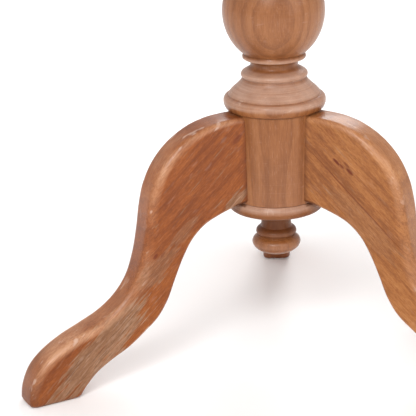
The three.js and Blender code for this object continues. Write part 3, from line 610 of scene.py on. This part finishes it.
def make_column():
    """The turned column, its tenon, and the wedge that spreads it."""
    column = lathe("column_turning", outline(column_runs()), 112)
    # painted shade on the collar's lowest part, and painted highlights on the top of the bead, on the bell
    # and on the rings, where light from above falls
    painted_light_band(column, HUB_TOP, 278, -0.28)
    painted_light_band(column, 275, 285, 0.20)
    painted_light_band(column, 283, 301, 0.72)
    painted_light_band(column, 300, 311.5, 0.50, 1.5)
    painted_light_band(column, 320, 325.5, 0.34, 1.5)
    grain(column, (0, 0, 1), (1, 0, 0), (6, 118), 0.31)
    finish(column, "pedestal", ["column"], WOODS["column"])
    top = BLOCK_HIGH - 0.2
    runs = chain((0, SHOULDER - 3), [(TENON_RADIUS, SHOULDER - 3)], [(TENON_RADIUS, top)], [(0, top)])
    tenon = lathe("column_tenon", outline(runs), 48)
    wide = TENON_RADIUS + 3
    cut(tenon, [box((-1.5, -wide, top - KERF_DEPTH), (1.5, wide, top + 2))])
    smooth(tenon)
    grain(tenon, (0, 0, 1), (1, 0, 0), (6, 118), 0.31)
    finish(tenon, "pedestal", ["column"], WOODS["column"])
    section = [(-0.6, WEDGE_LOW), (0.6, WEDGE_LOW), (1.4, top), (-1.4, top)]
    wedge = prism("tenon_wedge_piece", section, -WEDGE_HALF, WEDGE_HALF, 1)
    bevel(wedge, 0.2)
    grain(wedge, (0, 0, 1), (0, 1, 0), (0, 40), 0.9)
    finish(wedge, "pedestal", ["tenon_wedge"], WOODS["pin"])


# --- Legs -----------------------------------------------------------------------------------------
LEG_FRONT = [(56, 268), (76, 266.4), (98, 260.4), (120, 248.4), (138, 231), (150, 209.6), (156, 188),
             (160.4, 162), (166, 137), (175, 113.4), (189, 95), (208, 81), (230, 71.4), (252, 62.6),
             (272, 51.2), (287, 37), (295.6, 18), (298, 0)]
LEG_UNDER = [(242, 0), (234, 11), (222, 23.4), (206, 33.4), (186, 43.2), (168, 55.6), (151.5, 68.8),
             (139.4, 86), (130.4, 106.6), (120.4, 128), (109, 146.2), (94, 159.4), (76, 167.2),
             (58, 172.4), (48, 174.4)]
SOLE = 4.0  # the sole's edge is rounded by this much
LEG_ROOT = 44.0  # the visual legs begin this far from the axis, inside the hub
HUB_RADIUS = 48.6
CROWN = 0.8  # how far the middle of the front stands proud of its edges
# places on the front and on the underside that face each other
LEG_PAIRS = [((LEG_ROOT, 268), (LEG_ROOT, 174.4)), ((76, 266.4), (58, 172.4)), ((120, 248.4), (86, 163.6)),
             ((150, 209.6), (109, 146.2)), ((160.4, 162), (125, 118)), ((175, 113.4), (139.4, 86)),
             ((208, 81), (168, 55.6)), ((252, 62.6), (206, 33.4)), ((287, 37), (230, 16)),
             ((297.6, SOLE), (239.2, SOLE))]
# how wide the front's edges are rounded, and how far they are rubbed or carry a painted highlight (at the
# knee top and the ankle), from the hub to the toe
LEG_ROUND_AT = (0, 0.15, 0.28, 0.42, 0.55, 0.68, 0.82, 1)
LEG_ROUND = (6, 7, 10, 15, 15, 12, 10, 8)
LEG_RUB_AND_HIGHLIGHT = (0.5, 1.0, 1.1, 0.1, 0.35, 1.6, 1.6, 0.0)
# how wide the underside's edges are rounded, along the leg
SMALL_AT = (0, 0.8, 1)
SMALL_ROUND = (4.0, 4.0, 6.5)
THIN_FROM, THIN_BY = 0.7, 0.06  # from here on the leg grows thinner, by this share at the toe
TOE_FROM = 0.86  # from here on the front is dirty
UNDER_SHADE_END = 64.0  # painted shade on the underside's rounded edge over the disc, out to this far from the axis
SPLASH = 26.0  # the feet are dirty up to this height; on the back leg this also paints shade on its heel


def place_on(curve, lengths, point):
    """How far along the curve its nearest place to the point is."""
    return lengths[np.argmin(np.linalg.norm(curve - np.array(point, float), axis=1))]


def curve_lengths(curve):
    return np.concatenate([[0], np.cumsum(np.linalg.norm(np.diff(curve, axis=0), axis=1))])


def leg_sections(count):
    """Pairs of points on the front and the underside, from the hub to the floor."""
    front = np.vstack([[(LEG_ROOT, 268)], spline(LEG_FRONT, 1.0)])
    front = np.vstack([front[front[:, 1] > SOLE], [(297.6, SOLE)]])
    under = np.vstack([spline(LEG_UNDER, 1.0), [(LEG_ROOT, 174.4)]])[::-1]
    under = np.vstack([under[under[:, 1] > SOLE], [(239.2, SOLE)]])
    sections = []
    share = np.linspace(0, 1, count)
    at = np.linspace(0, 1, len(LEG_PAIRS))
    for curve, side in ((front, 0), (under, 1)):
        lengths = curve_lengths(curve)
        stops = [place_on(curve, lengths, pair[side]) for pair in LEG_PAIRS]
        wanted = np.interp(share, at, stops)
        wanted = blur(wanted[:, None], share, 0.02)[:, 0]
        wanted[0], wanted[-1] = 0, lengths[-1]
        sections.append(np.stack([np.interp(wanted, lengths, curve[:, k]) for k in (0, 1)], -1))
    return share, sections[0], sections[1]


def leg_loop(length, width, depth, small):
    """A leg's section: (distance from the front edge, place across the thickness, share of wear and painted
    highlight). The front's edges are rounded by width and depth, the underside's by small."""
    half = []
    flat = LEG_HALF - depth
    for y in np.linspace(0, flat, 4)[:-1]:
        half.append((CROWN * (y / LEG_HALF) ** 2, y, 0.5))
    for turn in np.linspace(0, math.pi / 2, 9):
        a = CROWN * (flat / LEG_HALF) ** 2 + width * (1 - math.cos(turn))
        half.append((a, flat + depth * math.sin(turn), 0.5 * math.cos(turn) + 0.7 * math.sin(2 * turn)))
    start, end = half[-1][0], length - small
    for share in np.linspace(0, 1, 12)[1:]:
        half.append((start + (end - start) * share, LEG_HALF, 0.0))
    for turn in np.linspace(math.pi / 2, 0, 6)[1:]:
        a = end + small * math.cos(turn)
        half.append((a, LEG_HALF - small * (1 - math.sin(turn)), 0.5 * math.sin(2 * turn)))
    half.append((length, (LEG_HALF - small) / 2, 0.0))
    mirrored = [(a, -y, w) for a, y, w in half[1:]][::-1]
    return half + [(length, 0, 0)] + mirrored


def make_leg(node):
    """A sawn leg with its front edges rounded, made along X and then turned to its place."""
    # the back leg's heel, seen in shade under the finial, gets painted shade as well as dirt
    foot_dirt_and_shade = 0.9 if node == "leg_back" else 0.25
    share, fronts, unders = leg_sections(170)
    verts, wear_and_highlight, dirt_and_shade, loops = [], [], [], []
    for s, front, under in zip(share, fronts, unders):
        across = under - front
        length = np.linalg.norm(across)
        across = across / length
        width = np.interp(s, LEG_ROUND_AT, LEG_ROUND)
        small = np.interp(s, SMALL_AT, SMALL_ROUND)
        thin = 1 - THIN_BY * max(0.0, (s - THIN_FROM) / (1 - THIN_FROM))
        toe_dirt = 0.8 * max(0.0, (s - TOE_FROM) / (1 - TOE_FROM))
        loop = leg_loop(length, width, min(8.0, 0.8 * width), small)
        loops.append(list(range(len(verts), len(verts) + len(loop))))
        for a, y, rub_and_highlight in loop:
            reach, height = front + across * a
            verts.append((reach, y * thin, height))
            wear_and_highlight.append(rub_and_highlight * np.interp(s, LEG_ROUND_AT, LEG_RUB_AND_HIGHLIGHT))
            # a dark joint at the hub, and painted shade on the underside's rounded edge over the disc
            seam_and_shade = max(0.0, 1 - (reach - HUB_RADIUS) / 0.8) * 0.2
            if a > length - 0.97 * small and reach < UNDER_SHADE_END:
                seam_and_shade = max(seam_and_shade, min(1.5, (UNDER_SHADE_END - reach) / 6))
            toe = toe_dirt if a < width else 0.0
            dirt_and_shade.append(max(seam_and_shade, toe, foot_dirt_and_shade * max(0.0, 1 - height / SPLASH)))
    # the sole, with its edge rounded in from the last section
    last = np.array([verts[k] for k in loops[-1]])
    centre = last.mean(0)
    for turn in (30, 60, 90):
        inset = SOLE * (1 - math.cos(math.radians(turn)))
        edge = centre + (last - centre) * (1 - inset / LEG_HALF)
        edge[:, 2] = SOLE * (1 - math.sin(math.radians(turn)))
        loops.append(list(range(len(verts), len(verts) + len(edge))))
        verts += [tuple(p) for p in edge]
        wear_and_highlight += [0.3] * len(edge)
        dirt_and_shade += [max(foot_dirt_and_shade, 0.5)] * len(edge)
    count = len(loops[0])
    faces = []
    for low, high in zip(loops, loops[1:]):
        faces += [(low[k], low[(k + 1) % count], high[(k + 1) % count], high[k]) for k in range(count)]
    faces += [tuple(loops[0]), tuple(loops[-1])]
    leg = new_object(node + "_carving", np.array(verts) * MM, faces)
    outward(leg)
    smooth(leg, 50)
    set_value(leg, "wear_and_highlight", wear_and_highlight)
    set_value(leg, "dirt_and_shade", dirt_and_shade)
    along = (math.cos(GRAIN_SLOPE), 0, math.sin(GRAIN_SLOPE))
    # in a leg's wood space the first place is through the thickness, the second across the plank, and
    # the third is along the grain, all from the hub's foot
    foot = Matrix.Translation((48 * MM, 0, 174 * MM))
    moved(leg, foot.inverted())
    grain(leg, along, (0, 1, 0), (0, 0), 0)
    moved(leg, foot)
    moved(leg, Matrix.Rotation(math.radians(LEG_AZIMUTH[node]), 4, "Z"))
    finish(leg, "pedestal", [node], WOODS[node])


# --- Disc and finial ------------------------------------------------------------------------------
def screw(name, place, head=4.2, depth=2.8, shank=2.0, length=12.0, point=None):
    """A slotted countersunk screw made with its face at height 0 and its shank upwards, turned by the
    matrix point where there is one, and put in place."""
    runs = chain((0, 0), [(head - 0.3, 0)], [(head, 0.4)], [(shank, depth)], [(shank, length)], [(0, length)])
    obj = lathe(name, outline(runs, soft=0.2), 40)
    slot = box((-head - 1, -0.45, -1), (head + 1, 0.45, 1.0))
    moved(slot, Matrix.Rotation(RNG.uniform(0, math.pi), 4, "Z"))
    cut(obj, [slot])
    smooth(obj)
    if point is not None:
        moved(obj, point)
    return moved(obj, Matrix.Translation(Vector(place) * MM))


def make_under_hub():
    """The disc that closes the hub's foot, its screws, and the finial."""
    top = HUB_BOTTOM - 0.1
    runs = chain((0, DISC_BOTTOM), [(46.4, DISC_BOTTOM)],
                 [(49.6, 160.2), (50.7, 164), (50, 168.4), (47.6, top)], [(0, top)])
    disc = lathe("base_disc_turning", outline(runs), 112)
    places = []
    for azimuth in LEG_AZIMUTH.values():
        turn = math.radians(azimuth + 60)
        places.append((DISC_SCREW_RADIUS * math.cos(turn), DISC_SCREW_RADIUS * math.sin(turn)))
    holes = [moved(rod(4.5, DISC_BOTTOM - 2, DISC_BOTTOM + 3.2, 24), Matrix.Translation((x * MM, y * MM, 0)))
             for x, y in places]
    cut(disc, holes)
    smooth(disc)
    # painted highlight on the upper rim, and painted shade below it
    painted_light_band(disc, 167, 175, 0.36, 1.5)
    painted_light_band(disc, 150, 166.5, -0.55, 2.5)
    x, y, height = points_of(disc).T / MM
    # painted shade, darker towards the bottom
    dirt_and_shade = np.clip((168 - height) / 9, 0, 0.65)
    # painted shadow where each leg stands over the disc
    for azimuth in LEG_AZIMUTH.values():
        turn = math.radians(azimuth)
        out, aside = x * math.cos(turn) + y * math.sin(turn), y * math.cos(turn) - x * math.sin(turn)
        under_leg_shadow = (out > 0) & (np.abs(aside) < LEG_HALF - 1) & (height > 170.5)
        dirt_and_shade = np.where(under_leg_shadow, 1.5, dirt_and_shade)
    set_value(disc, "dirt_and_shade", dirt_and_shade)
    grain(disc, (1, 0, 0), (0, 1, 0), (0, 70), 0.13)
    finish(disc, "pedestal", ["base_disc"], WOODS["disc"])
    for index, (x, y) in enumerate(places):
        piece = screw(f"disc_screw_{index + 1}_piece", (x, y, DISC_BOTTOM + 0.3))
        finish(piece, "pedestal", [f"disc_screw_{index + 1}"], STEEL)
    neck = DISC_BOTTOM + 1.5
    runs = chain(
        (0, 105.8),
        [(8, 106.3), (16.4, 108.7), (23, 112.9), (25.9, 118.2), (24.6, 122.7), (21.2, 125.4)],
        [(20.2, 126)],
        [(20.8, 127.1), (19.8, 128)],
        [(21.6, 130), (20.9, 133.4), (16.8, 136.8)],
        [(15.6, 143), (16, 151), (17.6, neck)],
        [(0, neck)],
    )
    finial = lathe("finial_turning", outline(runs, step=0.8, soft=0.4), 96)
    # painted shade: the bulb's underside loses its pale wear, so it stays darker
    painted_light_band(finial, 100, 117, -0.5)
    # painted shade under the disc: the neck and ring darken towards the top
    height = points_of(finial)[:, 2] / MM
    set_value(finial, "dirt_and_shade", np.clip((height - 124.5) / 4, 0, 1))
    grain(finial, (0, 0, 1), (1, 0, 0), (10, 60), 0.55)
    finish(finial, "pedestal", ["finial"], WOODS["finial"])


# --- Block, pins and strike plate -----------------------------------------------------------------
def make_block():
    """The block on the tenon, with its pins and strike plate."""
    turns = np.linspace(math.pi / 2, 3 * math.pi / 2, 17)
    nose = [(PIVOT_Y + BLOCK_NOSE * math.cos(t), PIVOT_Z + BLOCK_NOSE * math.sin(t)) for t in turns]
    section = [(BLOCK_HALF, BLOCK_LOW), (BLOCK_HALF, BLOCK_HIGH), *nose]
    block = prism("pivot_block_piece", section, -BLOCK_HALF, BLOCK_HALF, 0)
    holes = [rod(TENON_RADIUS + 0.3, BLOCK_LOW - 2, BLOCK_HIGH + 2, 48)]
    for side in (-1, 1):
        holes.append(along_x(rod(PIN_RADIUS + 0.2, 60, 90, 40), side, PIVOT_Y, PIVOT_Z))
    holes.append(box((-6, 73, BOLT_Z - 4), (6, 90, BOLT_Z + 4)))
    cut(block, holes)
    bevel(block, 0.8)
    grain(block, (1, 0, 0), (0, 1, 0), (0, 65), 0.2)
    finish(block, "pedestal", ["pivot_block"], WOODS["block"])
    for name, side in (("left", -1), ("right", 1)):
        outer = BEARER_X + BEARER_WIDTH
        runs = chain((0, 50), [(PIN_RADIUS, 50)], [(PIN_RADIUS, outer - 1.5)], [(PIN_RADIUS - 1.5, outer)],
                     [(0, outer)])
        pin = lathe(f"pivot_pin_{name}_piece", outline(runs, soft=0.4), 48)
        along_x(pin, side, PIVOT_Y, PIVOT_Z)
        grain(pin, (1, 0, 0), (0, 1, 0), (0, 12), 0.4 * side)
        finish(pin, "pedestal", [f"pivot_pin_{name}"], WOODS["pin"])
    plate = box((-20, STRIKE_BACK, STRIKE_LOW), (20, STRIKE_Y, STRIKE_HIGH))
    plate.name = "strike_plate_piece"
    holes = [box((-5.8, 84, BOLT_Z - 3.8), (5.8, 90, BOLT_Z + 3.8))]
    inward = Matrix.Rotation(math.pi / 2, 4, "X")
    for x in STRIKE_SCREWS_X:
        spot = Matrix.Translation((x * MM, STRIKE_Y * MM, STRIKE_SCREW_Z * MM))
        holes.append(moved(rod(3.2, -3, 2, 24), spot @ inward))
    cut(plate, holes)
    bevel(plate, 0.3)
    finish(plate, "pedestal", ["strike_plate"], BRASS)
    for index, x in enumerate(STRIKE_SCREWS_X):
        place = (x, STRIKE_Y - 0.2, STRIKE_SCREW_Z)
        piece = screw(f"strike_screw_{index + 1}_piece", place, 3.0, 1.6, 1.5, 8, inward)
        finish(piece, "pedestal", [f"strike_screw_{index + 1}"], BRASS)


# --- Top and bearers ------------------------------------------------------------------------------
def make_top():
    """Five boards, each turned whole and cut down to its own width."""
    r = TOP_RADIUS
    runs = chain(
        (0, TOP_UNDER),
        [(r - 60, TOP_UNDER)],
        [(r - 12, TOP_UNDER)],
        [(r - 4, TOP_UNDER + 4), (r, TOP_UNDER + 11)],
        [(r - 1.6, TOP_UNDER + 15), (r - 6, TOP_UNDER + 17.4)],
        [(r - 8, TOP_Z - 2)],
        [(r - 9, TOP_Z)],
        [(r - 60, TOP_Z)],
        [(0, TOP_Z)],
    )
    profile = outline(runs, step=1.5, soft=0.5)
    woods = ("top", "top_red", "top", "top", "top_red")
    width = 2 * r / len(woods)
    gap = 0.12
    for index, timber in enumerate(woods):
        board = lathe(f"top_board_{index + 1}_piece", profile, 288)
        low, high = -r + index * width + gap, -r + (index + 1) * width - gap
        bm = bmesh.new()
        bm.from_mesh(board.data)
        for place, normal in ((low, -1), (high, 1)):
            if abs(place) > r - 1:  # the rim's own end
                continue
            geometry = bm.verts[:] + bm.edges[:] + bm.faces[:]
            bmesh.ops.bisect_plane(bm, geom=geometry, plane_co=(0, place * MM, 0), plane_no=(0, normal, 0),
                                   clear_outer=True)
            bmesh.ops.edgeloop_fill(bm, edges=[edge for edge in bm.edges if edge.is_boundary])
        bm.to_mesh(board.data)
        bm.free()
        outward(board)
        smooth(board, 50)
        flip = RNG.choice((-1, 1))
        grain(board, (1, 0, 0), (0, 1, 0), (RNG.uniform(-30, 30) - (low + high) / 2, flip * 60 - 719),
              RNG.uniform(0, 3))
        finish(board, "top", [f"top_board_{index + 1}"], WOODS[timber])


def bearer_floor(y):
    """Height of a bearer's lower face at a place along it."""
    share = min(1.0, (BEARER_HALF - abs(y)) / BEARER_TAPER)
    return BLOCK_HIGH - BEARER_END - share * (BEARER_HEIGHT - BEARER_END)


def make_bearers():
    for name, side in (("left", -1), ("right", 1)):
        half, high = BEARER_HALF, BLOCK_HIGH
        section = [(-half, high), (-half, high - BEARER_END), (BEARER_TAPER - half, high - BEARER_HEIGHT),
                   (half - BEARER_TAPER, high - BEARER_HEIGHT), (half, high - BEARER_END), (half, high)]
        inner, outer = side * BEARER_X, side * (BEARER_X + BEARER_WIDTH)
        bearer = prism(f"bearer_{name}_piece", section, min(inner, outer), max(inner, outer), 0)
        middle = (inner + outer) / 2
        holes = [along_x(rod(PIN_RADIUS + 0.4, 80, 115, 40), side, PIVOT_Y, PIVOT_Z)]
        for y in BEARER_SCREWS_Y:
            hole = rod(4.6, bearer_floor(y) - 6, SCREW_HEAD_Z + 1.5, 28)
            holes.append(moved(hole, Matrix.Translation((middle * MM, y * MM, 0))))
        cut(bearer, holes)
        bevel(bearer, 1.2)
        grain(bearer, (0, 1, 0), (1, 0, 0), (-middle + side * 6, 90 - 690), 0.7 + 0.5 * side)
        finish(bearer, "top", [f"bearer_{name}"], WOODS["bearer"])
        for index, y in enumerate(BEARER_SCREWS_Y):
            piece = screw(f"bearer_screw_{name}_{index + 1}_piece", (middle, y, SCREW_HEAD_Z))
            finish(piece, "top", [f"bearer_screw_{name}_{index + 1}"], STEEL)


# --- Catch ----------------------------------------------------------------------------------------
def make_catch():
    """The spring catch's case, bolt and knob, under the top."""
    back = CATCH_Y + CATCH_LENGTH
    flange = CATCH_HIGH - 2
    section = [(-32, flange), (-32, CATCH_HIGH), (32, CATCH_HIGH), (32, flange), (13, flange),
               (12, CATCH_LOW), (-12, CATCH_LOW), (-13, flange)]
    case = prism("catch_case_piece", section, CATCH_Y, back, 1)
    holes = [box((-5.4, CATCH_Y - 2, BOLT_Z - 3.4), (5.4, back + 2, BOLT_Z + 3.4)),
             box((-2.8, KNOB_Y - 12.8, CATCH_LOW - 2), (2.8, KNOB_Y + 2.8, BOLT_Z - 2))]
    places = [(x, y) for x in (-24, 24) for y in (CATCH_Y + 9, back - 9)]
    for x, y in places:
        holes.append(moved(rod(3.2, flange - 2, flange + 1.4, 24), Matrix.Translation((x * MM, y * MM, 0))))
    cut(case, holes)
    bevel(case, 0.4)
    finish(case, "top", ["catch_case"], BRASS)
    for index, (x, y) in enumerate(places):
        piece = screw(f"catch_screw_{index + 1}_piece", (x, y, flange + 0.1), 3.0, 1.5, 1.4, 6)
        finish(piece, "top", [f"catch_screw_{index + 1}"], BRASS)
    nose = CATCH_Y + 0.4
    section = [(nose + 44, BOLT_Z - 3), (nose + 44, BOLT_Z + 3), (nose + 4, BOLT_Z + 3),
               (nose, BOLT_Z + 0.5), (nose, BOLT_Z - 3)]
    bolt = prism("catch_bolt_piece", section, -5, 5, 0)
    bevel(bolt, 0.4)
    finish(bolt, "bolt", ["catch_bolt"], BRASS)
    low = CATCH_LOW - 12
    runs = chain((0, low), [(4, low + 0.6), (6.4, low + 3.4), (6, low + 6.4), (3.4, low + 8.6)],
                 [(2.4, low + 10)], [(2.4, BOLT_Z - 1)], [(0, BOLT_Z - 1)])
    knob = moved(lathe("catch_knob_piece", outline(runs, step=0.5, soft=0.2), 48),
                 Matrix.Translation((0, KNOB_Y * MM, 0)))
    finish(knob, "bolt", ["catch_knob"], BRASS)


# --- Floor, light and camera ----------------------------------------------------------------------
def make_stage():
    bm = bmesh.new()
    bmesh.ops.create_grid(bm, x_segments=8, y_segments=8, size=40)
    mesh = bpy.data.meshes.new("floor")
    bm.to_mesh(mesh)
    bm.free()
    floor = bpy.data.objects.new("floor", mesh)
    bpy.context.scene.collection.objects.link(floor)
    n = Nodes("floor_paint")
    at = n.add("ShaderNodeTexCoord").outputs["Object"]
    tone = n.noise(at, (3, 3, 3), 2, 0.5)
    shade = n.mix(n.ease(tone, 0.3, 0.7), (0.96, 0.96, 0.96), (0.94, 0.94, 0.94))
    mesh.materials.append(n.surface({"Base Color": shade, "Roughness": 0.7}))

    def area(name, place, target, size, power):
        light = bpy.data.lights.new(name, "AREA")
        light.shape = "DISK"
        light.size = size
        light.energy = power
        lamp = bpy.data.objects.new(name, light)
        lamp.location = place
        aim = Vector(target) - Vector(place)
        lamp.rotation_euler = aim.to_track_quat("-Z", "Y").to_euler()
        bpy.context.scene.collection.objects.link(lamp)

    area("key_light", (-0.9, -2.4, 2.3), (0, 0, 0.3), 0.9, 26)
    area("soft_light", (-0.5, -2.6, 2.4), (0, 0, 0.3), 2.4, 42)
    area("fill_light", (2.2, -1.9, 1.4), (0, 0, 0.3), 2.2, 24)
    area("back_light", (0.4, 2.4, 2.0), (0, 0, 0.4), 1.6, 34)
    area("top_light", (0, 0, 3.2), (0, 0, 0.7), 2.2, 30)
    world = bpy.data.worlds.new("studio")
    world.use_nodes = True
    background = world.node_tree.nodes["Background"]
    background.inputs["Color"].default_value = (1, 1, 1, 1)
    background.inputs["Strength"].default_value = 0.74
    scene = bpy.context.scene
    scene.world = world
    scene.view_settings.view_transform = "Standard"


def make_camera():
    camera = bpy.data.cameras.new("camera")
    camera.sensor_width = 36
    camera.lens = 129.8
    pitch, yaw, roll = math.radians(19.88), math.radians(-2.76), math.radians(-1.68)
    forward = Vector((math.sin(yaw) * math.cos(pitch), math.cos(yaw) * math.cos(pitch), -math.sin(pitch)))
    level_right = Vector((math.cos(yaw), -math.sin(yaw), 0))
    level_up = level_right.cross(forward)
    right = level_right * math.cos(roll) + level_up * math.sin(roll)
    up = level_up * math.cos(roll) - level_right * math.sin(roll)
    rotation = Matrix((right, up, -forward)).transposed()
    obj = bpy.data.objects.new("camera", camera)
    obj.matrix_world = Matrix.Translation((0, -1.511, 0.7035)) @ rotation.to_4x4()
    bpy.context.scene.collection.objects.link(obj)
    bpy.context.scene.camera = obj


make_camera()
make_stage()
make_column()
for leg_node in LEG_AZIMUTH:
    make_leg(leg_node)
make_under_hub()
make_block()
make_top()
make_bearers()
make_catch()
